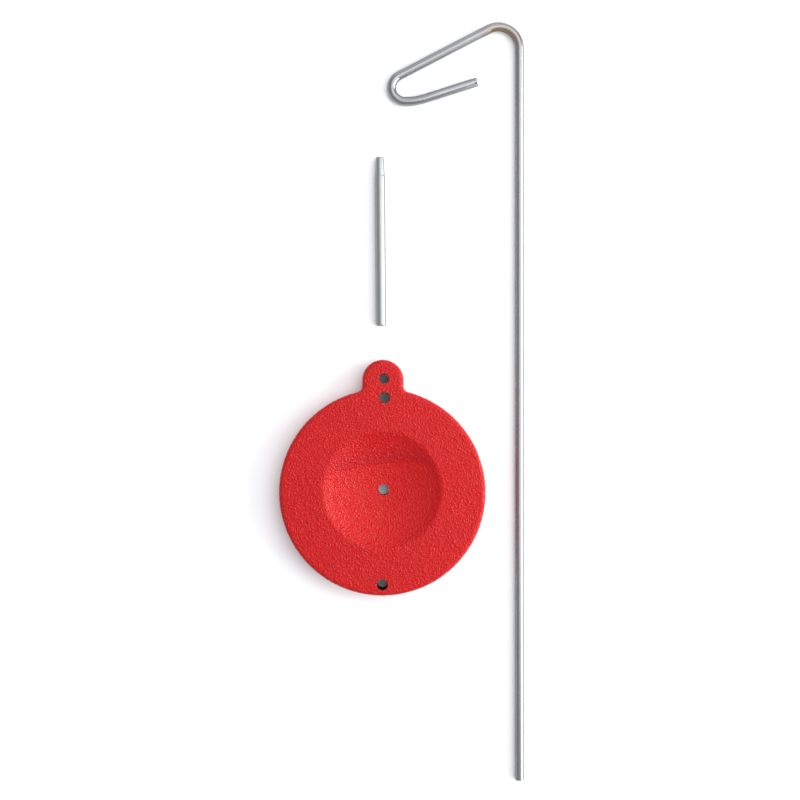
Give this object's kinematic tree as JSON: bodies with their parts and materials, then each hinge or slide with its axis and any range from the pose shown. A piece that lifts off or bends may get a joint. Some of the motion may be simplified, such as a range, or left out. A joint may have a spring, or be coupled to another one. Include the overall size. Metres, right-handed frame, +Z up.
{
  "type": "hanging disc with pin and hooked rod",
  "caption": "Thick round disc with a dished face, a hanging tab and drilled holes, a tapered steel pin that fits them and a long hooked steel rod to hang it from, laid out flat.",
  "frame": {"origin": "middle of the laid-out kit's footprint, on the surface it lies on", "axes": "+Z up off the surface and along the disc's holes, +Y along the rod towards its hook, +X from the disc towards the rod"},
  "size_m": [0.1432, 0.4454, 0.015],
  "materials": {
    "red_plastic": "leather-grained satin, dark in the drilled holes",
    "pin_steel": "satin, zinc-grey",
    "rod_steel": "drawn, semi-bright, straw heat tint at the top bend"
  },
  "bodies": {
    "disc": {"dished_disc": "red_plastic"},
    "pin": {"tapered_pin": "pin_steel"},
    "rod": {"hooked_rod": "rod_steel"}
  },
  "joints": [
    {"name": "pin_lift", "type": "slide", "parent": "disc", "child": "pin", "axis": [0, 0, 1], "range_m": [0, 0.06]},
    {"name": "rod_lift", "type": "slide", "parent": "disc", "child": "rod", "axis": [0, 0, 1], "range_m": [0, 0.06]}
  ]
}
